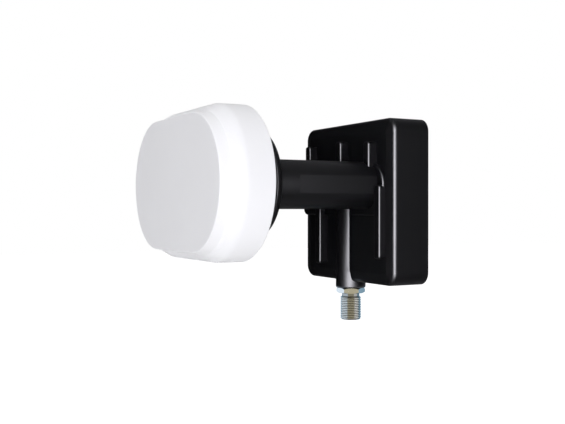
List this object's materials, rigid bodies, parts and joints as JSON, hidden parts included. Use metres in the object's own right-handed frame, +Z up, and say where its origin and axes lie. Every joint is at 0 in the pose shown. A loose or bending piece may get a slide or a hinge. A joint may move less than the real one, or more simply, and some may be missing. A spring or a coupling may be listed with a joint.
{
  "type": "satellite lnb",
  "caption": "Monoblock satellite LNB: white stadium-shaped feed cap on a black die-cast neck with side-by-side waveguides, finned square electronics box and a threaded F connector below.",
  "frame": {"origin": "on the neck's axis, midway between the two waveguide axes and midway along the neck, where the dish arm's clamp grips", "axes": "+Y back from the feeds to the electronics box, the feeds look along -Y; +Z up, the F connector hangs along -Z; +X from one waveguide to the other"},
  "size_m": [0.1046, 0.1025, 0.0931],
  "materials": {
    "cap_white": "smooth moulded, satin",
    "casting_black": "black paint on die-cast aluminium, satin",
    "cover_black": "black paint, satin",
    "nickel": "nickel plate on turned brass",
    "screw_steel": "zinc-plated steel",
    "seal_rubber": "matte",
    "board_green": "solder resist on glass-epoxy",
    "shield_alloy": "plain die-cast",
    "absorber_grey": "matte",
    "chip_black": "moulded epoxy",
    "can_steel": "drawn can",
    "ceramic_tan": "fired ceramic",
    "tantalum_yellow": "moulded epoxy",
    "ferrite_grey": "sintered ferrite",
    "insulator_white": "turned PTFE",
    "contact_gold": "gold flash on brass"
  },
  "bodies": {
    "root": {"feed_cap": "cap_white", "main_casting": "casting_black", "f_connector": "nickel", "feed_seal": "seal_rubber", "rear_cover": "cover_black", "rear_seal": "seal_rubber", "cover_screws": "screw_steel", "circuit_board": "board_green", "shield_cover": "shield_alloy", "shield_screws": "screw_steel", "absorber_sheet": "absorber_grey", "lna_transistors": "chip_black", "converter_chips": "chip_black", "switch_controller": "chip_black", "voltage_regulator": "chip_black", "crystal": "can_steel", "ceramic_capacitors": "ceramic_tan", "filter_capacitors": "tantalum_yellow", "chokes": "ferrite_grey", "protection_diode": "chip_black", "connector_seal": "seal_rubber", "connector_insulator": "insulator_white", "connector_contact": "contact_gold"}
  },
  "joints": []
}
